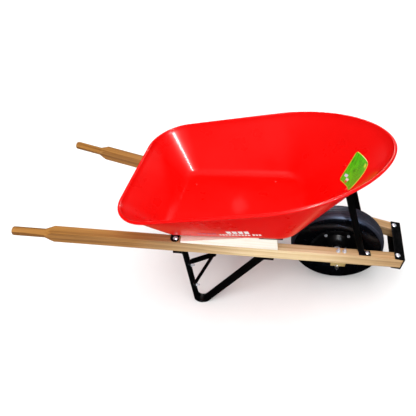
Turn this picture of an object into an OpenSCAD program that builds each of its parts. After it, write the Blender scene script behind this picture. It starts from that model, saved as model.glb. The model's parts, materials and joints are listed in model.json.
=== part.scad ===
// Contractor wheelbarrow: pressed steel tray on two hardwood handles, steel strap legs,
// pneumatic wheel on a fixed axle. X points forward to the wheel, Y to the left, Z up.
// The ground is Z = 0. Right-hand pieces are modelled once and mirrored for the left.

/* [Handles] */
// Length of each handle along its own axis
handle_len = 1524; // [1250:2:1850]
// Width of the square part of a handle
handle_w = 41; // [34:0.5:50]
// Height of the square part of a handle
handle_h = 51; // [42:0.5:62]
// Distance between the two grip centres
grip_spread = 556; // [450:2:680]
// Distance between the handle centres at the nose
nose_spread = 168; // [160:1:220]
// Slope of the handles, down to the front, in degrees
drop = 11.17; // [8:0.1:14]
// Grip diameter
grip_d = 34; // [28:0.5:40]
// Length of the round grip
grip_len = 118; // [95:1:145]

/* [Wheel] */
// Outside diameter of the tyre
wheel_d = 400; // [330:2:480]
// Width of the tyre
tyre_w = 94; // [78:1:112]
// Bead seat diameter of the rim
rim_d = 206; // [170:1:248]
// Width of the rim between its flanges
rim_w = 66; // [54:1:78]
// Axle diameter
axle_d = 16; // [13:0.5:20]
// Height of the axle brackets below the handles, to the axle centre
axle_drop = 27; // [24:0.5:34]

/* [Tray] */
// Overall length over the rolled rim
tray_len = 1000; // [840:2:1200]
// Overall width over the rolled rim
tray_w = 624; // [520:2:750]
// Height of the rear rim above the floor
rear_h = 169; // [138:1:204]
// Height of the nose tip above the floor
nose_h = 309; // [255:1:370]
// Length of the flat floor
floor_len = 540; // [450:2:640]
// Width of the flat floor
floor_w = 384; // [330:2:440]
// Thickness of the tray sheet
sheet = 2; // [1.5:0.1:3]
// Radius of the rolled rim
bead_r = 6; // [4.5:0.1:8]

/* [Legs] */
// Width of the leg channel
leg_w = 38; // [26:1:40]
// Depth of the leg channel
leg_depth = 13; // [9:1:18]
// Sheet thickness of the leg channel
leg_t = 3; // [2.4:0.1:4]
// Distance between the two bolts of one leg, along the handle
leg_span = 368; // [306:2:440]
// Outside radius of the rounded foot
foot_r = 35; // [28:1:42]
// Width of the cross brace straps
brace_w = 25; // [20:0.5:32]

/* [Fasteners] */
// Diameter of the structural bolts
bolt_d = 9.5; // [8:0.1:11]
// Diameter of the small bolts
small_d = 8; // [6.5:0.1:9.5]

/* [Hidden] */
$fn = 64;
eps = 0.01;
// Radial play of a bolt in its hole
play = 0.4;
half_spread = grip_spread/2;
toe = asin((grip_spread - nose_spread)/2/handle_len/cos(drop));
half_h = handle_h/2;
// Stations along the handle axis, counted from the grip end
axle_s = handle_len - wheel_d/2 - 58;
rear_s = axle_s - wheel_d/2 - 460;
front_s = rear_s + leg_span;
nose_foot_s = handle_len - 150;
nose_bolt_s = handle_len - 21;
square_s = grip_len + 39;
grip_z = wheel_d/2 + axle_s*sin(drop) + (half_h + axle_drop)*cos(drop);
nose_web = 4;
nose_in = handle_w/2*sin(toe) + 0.5;
nose_tilt = atan(tan(drop)/cos(toe));
x_end = handle_len*cos(drop)*cos(toe) + (nose_in + nose_web)*cos(nose_tilt)
    + (half_h + nose_web + 0.7)*sin(nose_tilt);
tip_r = 7;
lean = cos(drop)*cos(toe);
x_mid = (x_end - (grip_d/2 - tip_r)*sqrt(1 - lean*lean) - tip_r*(1 - lean))/2;
axle_x = axle_s*cos(drop)*cos(toe) - (half_h + axle_drop)*sin(drop)*cos(toe) - x_mid;
axle_z = wheel_d/2;

// Handle axis at a station
function hx(s) = s*cos(drop)*cos(toe) - x_mid;
function hy(s) = half_spread - s*cos(drop)*sin(toe);
function hz(s) = grip_z - s*sin(drop);
// Point above or below the handle axis (b up, square to the handle), on the right-hand side
function hpt(s, a, b) = [hx(s) - a*sin(toe) + b*sin(drop)*cos(toe),
    -hy(s) + a*cos(toe) + b*sin(drop)*sin(toe), hz(s) + b*cos(drop)];

// Tray position
bolster_t = 4;
floor_z = hz(rear_s) + half_h/cos(drop) + 5;
tray_x = axle_x - wheel_d/2 - 614;
floor_x = tray_x + 134;
floor_y = floor_w/2;
rim_y = tray_w/2 - 2*bead_r;
floor_fx = floor_x + floor_len;
rim_x = tray_x + 2*bead_r;
rim_fx = tray_x + tray_len - 2*bead_r;
floor_cx = floor_x + floor_len*0.8;
rim_cx = rim_x + (rim_fx - rim_x)*0.56;
fillet = 27;

// Outline helpers: one half from the rear centre round to the nose tip
rear_n = 4;
corner_n = 9;
side_n = 5;
front_n = 24;
function half_outline(xr, xc, xf, hw, rc, ex) = concat(
    [for (i = [0:rear_n - 1]) [xr, (hw - rc)*i/rear_n]],
    [for (i = [0:corner_n - 1]) let (a = 90*i/corner_n) [xr + rc - rc*cos(a), hw - rc + rc*sin(a)]],
    [for (i = [0:side_n - 1]) [xr + rc + (xc - xr - rc)*i/side_n, hw]],
    [for (i = [0:front_n]) let (a = 90*i/front_n)
        [xc + (xf - xc)*pow(sin(a), 2/ex), i == front_n ? 0 : hw*pow(cos(a), 2/ex)]]);
function closed(h) = concat(h, [for (i = [len(h) - 2:-1:1]) [h[i][0], -h[i][1]]]);
floor_ex = 3;
rim_ex = 1.9;
floor_rc = 62;
rim_rc = 138;
floor_line = closed(half_outline(floor_x, floor_cx, floor_fx, floor_y, floor_rc, floor_ex));
rim_line = closed(half_outline(rim_x, rim_cx, rim_fx, rim_y, rim_rc, rim_ex));
ring_n = len(rim_line);
rise = (nose_h - rear_h)/(rim_fx - rim_x);
floor_in = floor_z + sheet;
function rim_top(x) = floor_z + rear_h - bead_r + (x - rim_x)*rise;

// Wall section in its own upright plane: h outward from the floor edge, z up
fil_n = 5;
wall_n = 4;
bead_n = 8;
function section(f, r) = let (
    d = norm([r[0] - f[0], r[1] - f[1]]),
    e = [(r[0] - f[0])/d, (r[1] - f[1])/d],
    top = rim_top(r[0]),
    run = norm([d, top - floor_in]),
    w = [d/run, (top - floor_in)/run],
    wall_a = atan2(w[1], w[0]),
    fil = [for (i = [0:fil_n]) let (u = i/fil_n)
        [-fillet*(1 - u)*(1 - u) + fillet*w[0]*u*u, floor_in + fillet*w[1]*u*u]],
    fil_a = [for (i = [0:fil_n]) wall_a*i/fil_n],
    wall = [for (i = [1:wall_n]) let (u = fillet + (run - fillet)*i/wall_n)
        [w[0]*u, floor_in + w[1]*u]],
    inner = concat(fil, wall),
    outer = concat([for (i = [0:fil_n]) fil[i] + sheet*[sin(fil_a[i]), -cos(fil_a[i])]],
        [for (i = [0:wall_n - 2]) wall[i] + sheet*[w[1], -w[0]]],
        [wall[wall_n - 1] + sheet*[w[1], -w[0]] - bead_r*1.1*w]),
    bead = [for (i = [1:bead_n]) let (a = 180 - 300*i/(bead_n + 0.5))
        [d + bead_r + bead_r*cos(a), top + bead_r*sin(a)]],
    all = concat(inner, bead, [for (i = [len(outer) - 1:-1:0]) outer[i]]))
    [for (q = all) [f[0] + e[0]*q[0], f[1] + e[1]*q[0], q[1]]];
sec_n = len(section(floor_line[0], rim_line[0]));

// Point on the wall between floor and rim, found by its sideways distance y (front part of
// the tray) and its share t of the wall height; off is measured square to the wall
function nose_pt(a, t) = let (
    fy = floor_y*pow(cos(a), 2/floor_ex),
    ry = rim_y*pow(cos(a), 2/rim_ex),
    fx = floor_cx + (floor_fx - floor_cx)*pow(sin(a), 2/floor_ex),
    rx = rim_cx + (rim_fx - rim_cx)*pow(sin(a), 2/rim_ex))
    [fx + (rx - fx)*t, fy + (ry - fy)*t, floor_in + (rim_top(rx) - floor_in)*t];
function nose_a(y, t, lo = 0, hi = 90, n = 22) = let (m = (lo + hi)/2)
    n == 0 ? m : nose_pt(m, t)[1] > y ? nose_a(y, t, m, hi, n - 1) : nose_a(y, t, lo, m, n - 1);
function nose_at(y, t) = let (p = nose_pt(nose_a(abs(y), t), t)) [p[0], y, p[2]];
function unit(v) = v/norm(v);
function nose_n(y, t) = unit(cross(nose_at(y, t + 0.02) - nose_at(y, t - 0.02),
    nose_at(y + 2, t) - nose_at(y - 2, t)));
function nose_off(y, t, off) = nose_at(y, t) + off*nose_n(y, t);

// Side wall, k runs along the straight side, off outward
function side_at(k, t) = let (
    fx = floor_x + floor_rc + (floor_cx - floor_x - floor_rc)*k,
    rx = rim_x + rim_rc + (rim_cx - rim_x - rim_rc)*k)
    [fx + (rx - fx)*t, -floor_y - (rim_y - floor_y)*t, floor_in + (rim_top(rx) - floor_in)*t];
function side_n_at(k, t) = unit(cross(side_at(k + 0.02, t) - side_at(k - 0.02, t),
    side_at(k, t + 0.02) - side_at(k, t - 0.02)));

// Placement helpers
module mirrored() {
    mirror([0, 1, 0]) children();
}
module on_handle(s) {
    translate([-x_mid, -half_spread, grip_z]) rotate([0, drop, toe]) translate([s, 0, 0]) children();
}
module in_leg_plane() {
    translate([-x_mid, -half_spread, 0]) rotate([0, 0, toe]) children();
}
// Frame with its Z along n and its X as near to the given side direction as it can be
module frame_at(p, n, side) {
    z = unit(n);
    x = unit(side - (side*z)*z);
    y = cross(z, x);
    multmatrix([[x[0], y[0], z[0], p[0]], [x[1], y[1], z[1], p[1]], [x[2], y[2], z[2], p[2]]])
        children();
}
module bar(a, b, w, t, side) {
    frame_at(a, b - a, side) translate([-w/2, -t/2, 0]) cube([w, t, norm(b - a)]);
}
module hex_nut(d, h) {
    difference() {
        cylinder(d = 1.75*d, h = h, $fn = 6);
        translate([0, 0, -1]) cylinder(d = d + 0.2, h = h + 2);
    }
}
module dome(d, h) {
    r = (d*d/4 + h*h)/(2*h);
    intersection() {
        translate([0, 0, h - r]) sphere(r = r);
        cylinder(d = d + 1, h = h + 1);
    }
}
// Bolt from a head at z = 0 down to z = -len
module dome_bolt(d, len) {
    dome(2.1*d, 0.5*d);
    translate([0, 0, -len]) cylinder(d = d, h = len + eps);
}
module hex_bolt(d, len) {
    cylinder(d = 1.75*d, h = 0.62*d, $fn = 6);
    translate([0, 0, -len]) cylinder(d = d, h = len + eps);
}
module thin_patch(front, back, nu, nv) {
    m = (nu + 1)*(nv + 1);
    polyhedron(points = concat(front, back), faces = concat(
        [for (i = [0:nu - 1], j = [0:nv - 1], k = [0, 1]) let (a = i*(nv + 1) + j, b = a + nv + 1)
            k == 0 ? [a, b, b + 1] : [a, b + 1, a + 1]],
        [for (i = [0:nu - 1], j = [0:nv - 1], k = [0, 1]) let (a = m + i*(nv + 1) + j, b = a + nv + 1)
            k == 0 ? [a, b + 1, b] : [a, a + 1, b + 1]],
        [for (i = [0:nu - 1], k = [0, 1]) let (a = i*(nv + 1), b = a + nv + 1)
            k == 0 ? [a, a + m, b + m] : [a, b + m, b]],
        [for (i = [0:nu - 1], k = [0, 1]) let (a = i*(nv + 1) + nv, b = a + nv + 1)
            k == 0 ? [a, b + m, a + m] : [a, b, b + m]],
        [for (j = [0:nv - 1], k = [0, 1]) let (a = j)
            k == 0 ? [a, a + 1 + m, a + m] : [a, a + 1, a + 1 + m]],
        [for (j = [0:nv - 1], k = [0, 1]) let (a = nu*(nv + 1) + j)
            k == 0 ? [a, a + m, a + 1 + m] : [a, a + 1 + m, a + 1]]));
}

// Colours
wood = "BurlyWood";
black = "#202020";
red = "Red";
zinc = "Silver";
rubber = "#303030";

// Strip of even width t along a flat path of points
function strip_n(p, i) = let (
    a = i > 0 ? unit(p[i] - p[i - 1]) : unit(p[1] - p[0]),
    b = i < len(p) - 1 ? unit(p[i + 1] - p[i]) : a,
    n = unit([-(a[1] + b[1]), a[0] + b[0]]))
    n/max(0.4, n*[-a[1], a[0]]);
function strip(p, t) = concat([for (i = [0:len(p) - 1]) p[i] + t/2*strip_n(p, i)],
    [for (i = [len(p) - 1:-1:0]) p[i] - t/2*strip_n(p, i)]);

// ---- Handles ----
edge_r = 4;
module handle_section(l) {
    rotate([0, 90, 0]) linear_extrude(l) union() {
        square([handle_h, handle_w - 2*edge_r], center = true);
        square([handle_h - 2*edge_r, handle_w], center = true);
        for (i = [-1, 1], j = [-1, 1])
            translate([i*(handle_h/2 - edge_r), j*(handle_w/2 - edge_r)]) circle(r = edge_r);
    }
}
module cross_hole(s, d) {
    translate([s, 0, -handle_h]) cylinder(d = d, h = 2*handle_h);
}
module front_bolt_hole() {
    translate([hx(front_s), -hy(front_s), 0]) cylinder(d = small_d + 2*play, h = 1000);
}
module handle_solid() {
    difference() {
        handle_bar();
        front_bolt_hole();
    }
}
module handle_bar() {
    grip_r = grip_d/2;
    big_r = norm([handle_w, handle_h])/2 + 1;
    on_handle(0) difference() {
        union() {
            rotate([0, 90, 0]) rotate_extrude() polygon(concat([[0, 0]],
                [for (a = [0:15:90]) [grip_r - tip_r + tip_r*sin(a), tip_r - tip_r*cos(a)]],
                [[grip_r, grip_len + 1], [0, grip_len + 1]]));
            intersection() {
                translate([grip_len, 0, 0]) handle_section(square_s - grip_len + 1);
                translate([grip_len, 0, 0]) rotate([0, 90, 0])
                    cylinder(r1 = grip_r, r2 = big_r, h = square_s - grip_len + 1);
            }
            translate([square_s, 0, 0]) handle_section(handle_len - square_s);
        }
        for (s = [rear_s, nose_bolt_s]) cross_hole(s, bolt_d + 2*play);
        for (i = [-1, 1]) cross_hole(axle_s + i*ubolt_dx, ubolt_d + 2*play);
        cross_hole(nose_foot_s, small_d + 2*play);
    }
}
module handle_right() {
    color(wood) handle_solid();
}
module handle_left() {
    color(wood) mirrored() handle_solid();
}

// ---- Tray ----
tray_bolt_y = 116;
rear_bolt_x = hx(rear_s) + 12;
front_bolt_x = hx(front_s);
front_bolt_y = hy(front_s);
nose_bolt_y = 74;
nose_bolt_t = 0.52;
module tray_shell() {
    pts = [for (i = [0:ring_n - 1]) section(floor_line[i], rim_line[i])];
    flat = [for (s = pts, q = s) q];
    polyhedron(points = flat, faces = concat(
        [[for (i = [ring_n - 1:-1:0]) i*sec_n]],
        [[for (i = [0:ring_n - 1]) i*sec_n + sec_n - 1]],
        [for (i = [0:ring_n - 1], j = [0:sec_n - 2], k = [0, 1])
            let (a = i*sec_n + j, b = ((i + 1) % ring_n)*sec_n + j)
            k == 0 ? [a, a + 1, b + 1] : [a, b + 1, b]]));
}
module tray() {
    color(red) difference() {
        tray_shell();
        for (i = [-1, 1]) {
            translate([rear_bolt_x, i*tray_bolt_y, floor_z - 5]) cylinder(d = small_d + 2*play, h = 12);
            translate([front_bolt_x, i*front_bolt_y, floor_z - 5]) cylinder(d = small_d + 2*play, h = 12);
            frame_at(nose_off(i*nose_bolt_y, nose_bolt_t, 0), nose_n(i*nose_bolt_y, nose_bolt_t), [0, 1, 0])
                translate([0, 0, -8]) cylinder(d = small_d + 2*play, h = 16);
        }
    }
}
// Plain coloured label stuck askew on the inside of the nose: its corners are given as
// sideways distance and share of the wall height
label_n = 10;
label_bow = 0.027;
label_top = [98, 0.70];
label_left = [16, 0.43];
label_right = [-1, 0.745];
label_low = [-101, 0.58];
function label_pt(p, q, off) = let (
    a = label_left + (label_top - label_left)*q,
    b = label_low + (label_right - label_low)*q,
    m = a + (b - a)*p)
    nose_off(m[0], m[1] + label_bow*(2*p - 1)*4*q*(1 - q), off);
module label_patch(lo, hi) {
    thin_patch([for (i = [0:label_n], j = [0:label_n]) label_pt(i/label_n, j/label_n, hi)],
        [for (i = [0:label_n], j = [0:label_n]) label_pt(i/label_n, j/label_n, lo)],
        label_n, label_n);
}
module nose_label() {
    color("LimeGreen") label_patch(0.5, 1.1);
}
// Rows of plain white dashes low on both side walls
module side_bar(k0, k1, t0, t1) {
    n = 4;
    function at(i, j, off) = let (k = k0 + (k1 - k0)*i/n, t = t0 + (t1 - t0)*j/2)
        side_at(k, t) + (sheet + off)*side_n_at(k, t);
    thin_patch([for (i = [0:n], j = [0:2]) at(i, j, 1)], [for (i = [0:n], j = [0:2]) at(i, j, 0.5)], n, 2);
}
module decal_pair() {
    for (i = [0:3]) side_bar(0.585 + 0.058*i, 0.585 + 0.058*i + 0.042, 0.28, 0.39);
    for (i = [0:9]) side_bar(0.49 + 0.032*i, 0.49 + 0.032*i + 0.022, 0.19, 0.24);
    for (i = [0:2]) side_bar(0.825 + 0.031*i, 0.825 + 0.031*i + 0.022, 0.2, 0.26);
    for (i = [0:3]) side_bar(0.28 + 0.05*i, 0.28 + 0.05*i + 0.036, 0.23, 0.28);
}
module side_decals() {
    color("White") decal_pair();
    color("White") mirrored() decal_pair();
}

// ---- Tray supports ----
plate_t = 4;
module bolster_half() {
    intersection() {
        on_handle(rear_s) difference() {
            union() {
                translate([-3, 0, half_h]) cylinder(r = 17, h = bolster_t);
                translate([-20, 0, half_h]) cube([34, handle_w/2 + 7, bolster_t]);
            }
            translate([0, 0, half_h - 1]) cylinder(d = bolt_d + 2*play, h = bolster_t + 2);
            translate([-50, handle_w/2 + 0.5, half_h + 3.4]) cube([100, 50, 20]);
        }
        translate([-2000, -1000, 0]) cube([4000, 1000, 2000]);
    }
    translate([hx(rear_s) - 18, -hy(rear_s) + handle_w/2 + 3.5, floor_z - bolster_t])
        cube([42, hy(rear_s) - handle_w/2 - 3.5 + eps, bolster_t]);
}
module rear_bolster() {
    color(black) difference() {
        union() {
            bolster_half();
            mirrored() bolster_half();
        }
        for (i = [-1, 1]) translate([rear_bolt_x, i*tray_bolt_y, floor_z - 20])
            cylinder(d = small_d + 2*play, h = 40);
    }
}
// Flat plate under the front of the floor, lying across the two wedges
plate_l = 92;
plate_x = front_bolt_x - 28;
plate_y = floor_y - 6;
module front_bolster() {
    color(black) difference() {
        translate([plate_x, -plate_y, floor_z - plate_t]) cube([plate_l, 2*plate_y, plate_t]);
        for (i = [-1, 1]) translate([front_bolt_x, i*front_bolt_y, floor_z - 20])
            cylinder(d = small_d + 2*play, h = 40);
    }
}
// Hardwood wedge that fills the space between the sloping handle and the level floor
wedge_w = handle_w - 3;
wedge_end = front_s + 38;
wedge_top = floor_z - plate_t;
wedge_min = 6;
function top_z(xi) = grip_z - xi*tan(drop) + half_h/cos(drop);
wedge_start = (grip_z + half_h/cos(drop) - wedge_top + wedge_min)/tan(drop);
wedge_stop = wedge_end*cos(drop);
module wedge() {
    difference() {
        in_leg_plane() translate([0, wedge_w/2, 0]) rotate([90, 0, 0]) linear_extrude(wedge_w)
            polygon([[wedge_start, top_z(wedge_start)], [wedge_start, wedge_top],
                [wedge_stop, wedge_top], [wedge_stop, top_z(wedge_stop)]]);
        front_bolt_hole();
    }
}
module wedge_right() {
    color(wood) wedge();
}
module wedge_left() {
    color(wood) mirrored() wedge();
}
// The front bolts go down through wedge, handle and leg
front_under = hz(front_s) - half_h/cos(drop) - leg_t/cos(drop) - small_d*tan(drop);
module tray_bolts() {
    top = floor_z + sheet;
    color(red) for (i = [-1, 1]) {
        translate([rear_bolt_x, i*tray_bolt_y, top]) dome_bolt(small_d, sheet + bolster_t + 0.9*small_d + 2);
        translate([front_bolt_x, i*front_bolt_y, top]) dome_bolt(small_d, top - front_under + 0.8*small_d + 2);
    }
}
module tray_nuts() {
    h = 0.8*small_d;
    color(zinc) for (i = [-1, 1]) {
        translate([rear_bolt_x, i*tray_bolt_y, floor_z - bolster_t - h]) hex_nut(small_d, h);
        translate([front_bolt_x, i*front_bolt_y, front_under - h]) hex_nut(small_d, h);
    }
}

// ---- Nose braces ----
nb_w = 26;
nb_s = nose_foot_s - 36;
function nb_low() = hpt(nb_s + nb_w/2, 8, half_h);
function nb_high(y) = nose_off(y, nose_bolt_t, -sheet - 0.3);
module nose_brace() {
    y = -nose_bolt_y;
    n = nose_n(y, nose_bolt_t);
    difference() {
        union() {
            on_handle(nb_s) translate([0, -13, half_h]) cube([nose_foot_s - nb_s + 13, 26, plate_t]);
            intersection() {
                bar(nb_low(), nb_high(y) + [12, -13, 0] + 40*unit(nb_high(y) - nb_low()), nb_w, plate_t, [1, 0, 0]);
                union() {
                    frame_at(nb_high(y), n, [0, 1, 0]) translate([-200, -200, -600]) cube([400, 400, 600]);
                }
            }
            frame_at(nb_high(y), n, [0, 1, 0]) translate([-16, -25, -plate_t]) cube([28, 38, plate_t]);
        }
        on_handle(nose_foot_s) translate([0, 0, half_h - 1])
            cylinder(d = small_d + 2*play, h = plate_t + 2);
        on_handle(0) translate([square_s, -handle_w, -half_h]) cube([handle_len, 2*handle_w, handle_h]);
        frame_at(nb_high(y), n, [0, 1, 0]) translate([0, 0, -20]) cylinder(d = small_d + 2*play, h = 40);
    }
}
module nose_brace_right() {
    color(black) nose_brace();
}
module nose_brace_left() {
    color(black) mirrored() nose_brace();
}
module nose_brace_bolt_pair() {
    y = -nose_bolt_y;
    frame_at(nose_off(y, nose_bolt_t, 0.35), nose_n(y, nose_bolt_t), [0, 1, 0])
        dome_bolt(small_d, sheet + plate_t + 0.8*small_d + 3);
    on_handle(nose_foot_s) translate([0, 0, half_h + plate_t])
        dome_bolt(small_d, plate_t + handle_h + 0.8*small_d + 4);
}
module nose_brace_nut_pair() {
    y = -nose_bolt_y;
    h = 0.8*small_d;
    frame_at(nb_high(y), nose_n(y, nose_bolt_t), [0, 1, 0]) translate([0, 0, -plate_t - h])
        hex_nut(small_d, h);
    on_handle(nose_foot_s) translate([0, 0, -half_h - h]) hex_nut(small_d, h);
}
module nose_brace_bolts() {
    color(zinc) nose_brace_bolt_pair();
    color(zinc) mirrored() nose_brace_bolt_pair();
}
module nose_brace_nuts() {
    color(zinc) nose_brace_nut_pair();
    color(zinc) mirrored() nose_brace_nut_pair();
}

// ---- Nose bar ----
nose_gap = 0.7;
nose_lap = 34;
nose_y = hy(nose_bolt_s) + handle_w/2;
module nose_bar() {
    l = nose_lap + nose_in + nose_web;
    color(black) difference() {
        translate([hx(handle_len), 0, hz(handle_len)]) rotate([0, nose_tilt, 0]) difference() {
            translate([-nose_lap, -nose_y, -half_h - nose_gap - nose_web])
                cube([l, 2*nose_y, handle_h + 2*nose_gap + 2*nose_web]);
            translate([-nose_lap - 1, -nose_y - 1, -half_h - nose_gap])
                cube([nose_lap + 1 + nose_in, 2*nose_y + 2, handle_h + 2*nose_gap]);
        }
        on_handle(0) cross_hole_long(nose_bolt_s);
        mirrored() on_handle(0) cross_hole_long(nose_bolt_s);
    }
}
module cross_hole_long(s) {
    translate([s, 0, -2*handle_h]) cylinder(d = bolt_d + 2*play, h = 4*handle_h);
}
module nose_bolt() {
    top = half_h + nose_gap + nose_web + 0.3;
    on_handle(nose_bolt_s) translate([0, 0, top]) dome_bolt(bolt_d, 2*top + 0.8*bolt_d + 2);
}
module nose_nut() {
    on_handle(nose_bolt_s) translate([0, 0, -half_h - nose_gap - nose_web - 0.3 - 0.8*bolt_d])
        hex_nut(bolt_d, 0.8*bolt_d);
}
module nose_bolts() {
    color(zinc) nose_bolt();
    color(zinc) mirrored() nose_bolt();
}
module nose_nuts() {
    color(zinc) nose_nut();
    color(zinc) mirrored() nose_nut();
}

// ---- Legs ----
// The channel's web is on the inside of the V, its flanges point outward
function lp(s, b) = [s*cos(drop) + b*sin(drop), grip_z - s*sin(drop) + b*cos(drop)];
rear_bend = lp(rear_s + 38, -half_h);
front_bend = lp(front_s - 22, -half_h);
foot_flat = 0.8;
foot_c = [lp(rear_s, -half_h)[0] + foot_r + 17.5, foot_r - foot_flat];
foot_m = foot_r - leg_depth;
foot_v = front_bend - foot_c;
foot_u = rear_bend - foot_c;
foot_a0 = atan2(foot_u[1], foot_u[0]) + acos(foot_m/norm(foot_u));
foot_a1 = atan2(foot_v[1], foot_v[0]) - acos(foot_m/norm(foot_v)) + 360;
function foot_pt(a) = foot_c + foot_m*[cos(a), sin(a)];
// Points of a bend of radius r at corner b between a and c
function bend(a, b, c, r, n = 5) = let (
    u = unit(a - b),
    v = unit(c - b),
    m = unit(u + v),
    half = acos(u*m),
    o = b + m*r/sin(half),
    turn = 90 - half,
    cross = u[0]*v[1] - u[1]*v[0],
    w = cross > 0 ? -1 : 1)
    [for (i = [0:n]) let (t = w*turn*(2*i/n - 1), k = -r*m)
        o + [k[0]*cos(t) - k[1]*sin(t), k[0]*sin(t) + k[1]*cos(t)]];
leg_path = concat([lp(rear_s - 9, -half_h)], bend(lp(rear_s - 9, -half_h), rear_bend, foot_pt(foot_a0), leg_depth + 7),
    [for (i = [0:14]) foot_pt(foot_a0 + (foot_a1 - foot_a0)*i/14)],
    bend(foot_pt(foot_a1), front_bend, lp(front_s + 24, -half_h), leg_depth + 7),
    [lp(front_s + 24, -half_h)]);
function band(p, d0, d1) = concat([for (i = [0:len(p) - 1]) p[i] - d0*strip_n(p, i)],
    [for (i = [len(p) - 1:-1:0]) p[i] - d1*strip_n(p, i)]);
// Front face of the rear strut at a height
strut_a = foot_pt(foot_a0);
function strut_x(z) = strut_a[0] + (rear_bend[0] - strut_a[0])*(z - strut_a[1])/(rear_bend[1] - strut_a[1]);
brace_hi = 0.69*rear_bend[1];
brace_lo = 0.306*rear_bend[1];
module brace_hole(z, d) {
    translate([strut_x(z) - 30, 0, z]) rotate([0, 90, 0]) cylinder(d = d, h = 60);
}
module leg_band(w, d0, d1) {
    translate([0, w/2, 0]) rotate([90, 0, 0]) linear_extrude(w) polygon(band(leg_path, d0, d1));
}
module leg() {
    difference() {
        in_leg_plane() difference() {
            leg_band(leg_w, 0, leg_depth);
            leg_band(leg_w - 2*leg_t, leg_t, leg_depth + 8);
            brace_hole(brace_hi, small_d + 2*play);
            brace_hole(brace_lo, small_d + 2*play);
            translate([0, -leg_w, -leg_depth]) cube([2*handle_len, 2*leg_w, leg_depth]);
        }
        on_handle(rear_s) translate([0, 0, -half_h - leg_t - 5])
            cylinder(d = bolt_d + 2*play, h = leg_t + 6);
        front_bolt_hole();
    }
}
module leg_right() {
    color(black) leg();
}
module leg_left() {
    color(black) mirrored() leg();
}
module leg_bolt() {
    on_handle(rear_s) translate([0, 0, half_h + bolster_t])
        dome_bolt(bolt_d, bolster_t + handle_h + leg_t + 0.8*bolt_d + 3);
}
module leg_nut() {
    on_handle(rear_s) translate([0, 0, -half_h - leg_t - 0.8*bolt_d]) hex_nut(bolt_d, 0.8*bolt_d);
}
module leg_bolts() {
    color(zinc) leg_bolt();
    color(zinc) mirrored() leg_bolt();
}
module leg_nuts() {
    color(zinc) leg_nut();
    color(zinc) mirrored() leg_nut();
}

// ---- Cross braces between the rear struts ----
brace_t = 4;
brace_mid = 0.345*rear_bend[1];
brace_bow = 53;
brace_flat = 30;
function lw(xi, eta) = [-x_mid + xi*cos(toe) - eta*sin(toe), -half_spread + xi*sin(toe) + eta*cos(toe)];
function strut_face(z) = strut_x(z) + 0.5;
module brace_strap(z, layer) {
    xi = strut_face(z);
    a = lw(xi, -leg_w/2 + 2);
    b = lw(xi, leg_w/2 + 1);
    xc = b[0] + brace_bow - layer*brace_t;
    rear_line = [a, b, [xc, -brace_flat], [xc, brace_flat], [b[0], -b[1]], [a[0], -a[1]]];
    front_line = [for (i = [5:-1:0]) rear_line[i] + [brace_t, 0]];
    intersection() {
        translate([0, 0, 10]) linear_extrude(400) polygon(concat(rear_line, front_line));
        translate([-600, 0, 0]) rotate([90, 0, 90]) linear_extrude(1200)
            polygon(strip([[-hy(0), z], [b[1], z], [-brace_flat, brace_mid], [brace_flat, brace_mid], [-b[1], z],
                [hy(0), z]], brace_w));
    }
}
module upper_brace() {
    color(black) difference() {
        brace_strap(brace_hi, 0);
        brace_holes(brace_hi);
    }
}
module lower_brace() {
    color(black) difference() {
        brace_strap(brace_lo, 1);
        brace_holes(brace_lo);
    }
}
module brace_holes(z) {
    in_leg_plane() brace_hole(z, small_d + 2*play);
    mirrored() in_leg_plane() brace_hole(z, small_d + 2*play);
    translate([lw(strut_face(z), 0)[0], 0, brace_mid]) rotate([0, 90, 0])
        translate([0, 0, -40]) cylinder(d = small_d + 2*play, h = 120);
}
brace_len = leg_t + brace_t + 7;
module brace_bolt_pair() {
    for (z = [brace_hi, brace_lo]) in_leg_plane() translate([strut_x(z) - leg_t - 0.5, 0, z])
        rotate([0, -90, 0]) hex_bolt(small_d, brace_len + 0.8*small_d + 3);
}
module brace_nut_pair() {
    for (z = [brace_hi, brace_lo]) in_leg_plane()
        translate([strut_face(z) + brace_t + 0.3, 0, z]) rotate([0, 90, 0]) hex_nut(small_d, 0.8*small_d);
}
// Back face of the upper strap at mid span
brace_cx = lw(strut_face(brace_hi), leg_w/2 + 1)[0] + brace_bow;
brace_lx = lw(strut_face(brace_lo), leg_w/2 + 1)[0] + brace_bow - brace_t;
module brace_bolts() {
    color(zinc) brace_bolt_pair();
    color(zinc) mirrored() brace_bolt_pair();
    color(zinc) translate([min(brace_cx, brace_lx) - 0.1, 0, brace_mid]) rotate([0, -90, 0])
        hex_bolt(small_d, abs(brace_cx - brace_lx) + brace_t + 0.8*small_d + 3);
}
module brace_nuts() {
    color(zinc) brace_nut_pair();
    color(zinc) mirrored() brace_nut_pair();
    color(zinc) translate([max(brace_cx, brace_lx) + brace_t + 0.1, 0, brace_mid]) rotate([0, 90, 0])
        hex_nut(small_d, 0.8*small_d);
}

// ---- Axle and its clamps ----
ubolt_d = 8;
ubolt_dx = axle_d/2 + ubolt_d/2 + 1;
ubolt_b = -half_h - axle_drop + ubolt_dx - ubolt_d/2 - axle_d/2 - 0.2;
block_w = 32;
axle_y = hy(axle_s);
axle_half = axle_y + block_w/2 + 9;
module at_axle() {
    translate([axle_x, 0, axle_z]) rotate([90, 0, 0]) children();
}
module axle_block() {
    low = -half_h - axle_drop + axle_d/2 - 3.5;
    difference() {
        on_handle(axle_s) difference() {
            translate([-30, -block_w/2, low]) cube([60, block_w, -half_h - low]);
            for (i = [-1, 1]) translate([i*ubolt_dx, 0, low - 1])
                cylinder(d = ubolt_d + 2*play, h = axle_drop + 2);
        }
        at_axle() cylinder(d = axle_d + 0.1, h = 4*axle_half, center = true);
    }
}
module axle_block_right() {
    color("Goldenrod") axle_block();
}
module axle_block_left() {
    color("Goldenrod") mirrored() axle_block();
}
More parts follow.
